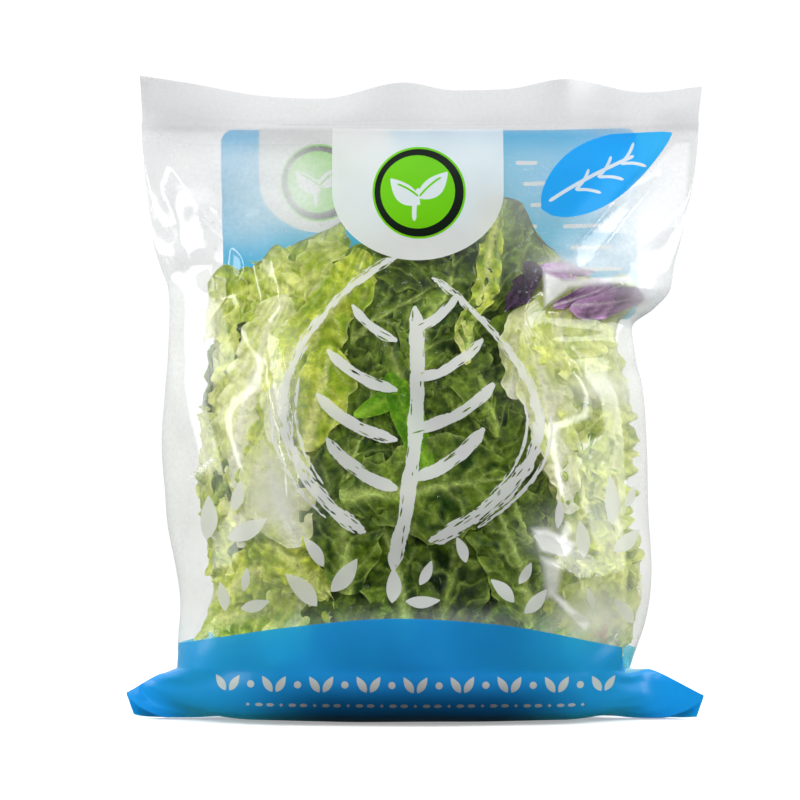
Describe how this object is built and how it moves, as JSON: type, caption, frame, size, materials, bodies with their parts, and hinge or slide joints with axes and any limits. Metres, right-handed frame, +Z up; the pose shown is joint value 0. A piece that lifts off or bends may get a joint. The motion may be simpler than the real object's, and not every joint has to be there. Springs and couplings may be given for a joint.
{
  "type": "salad bag",
  "caption": "Clear pillow bag of mixed salad leaves, standing on its flattened bottom, with a sealed wavy top edge and a sealed ear at each bottom corner.",
  "frame": {"origin": "on the surface that the bag stands on, in the middle of its footprint", "axes": "+Z up, from the flattened bottom to the top seal; the printed front faces -Y; +X is to the right as the front is seen"},
  "size_m": [0.23, 0.0888, 0.256],
  "materials": {
    "film": "clear glossy plastic film, slightly misted inside",
    "white_ink": "white print on the film",
    "blue_ink": "bright blue print on the film",
    "green_ink": "bright green print on the film",
    "green_leaf": "dark green romaine leaf, waxy and veined",
    "pale_leaf": "pale yellow-green iceberg leaf, moist",
    "red_leaf": "purple cabbage leaf with a white cut edge",
    "carrot": "orange carrot shreds, moist",
    "water": "small drops of condensed water"
  },
  "bodies": {
    "root": {"salad_bag": "film"}
  },
  "joints": []
}
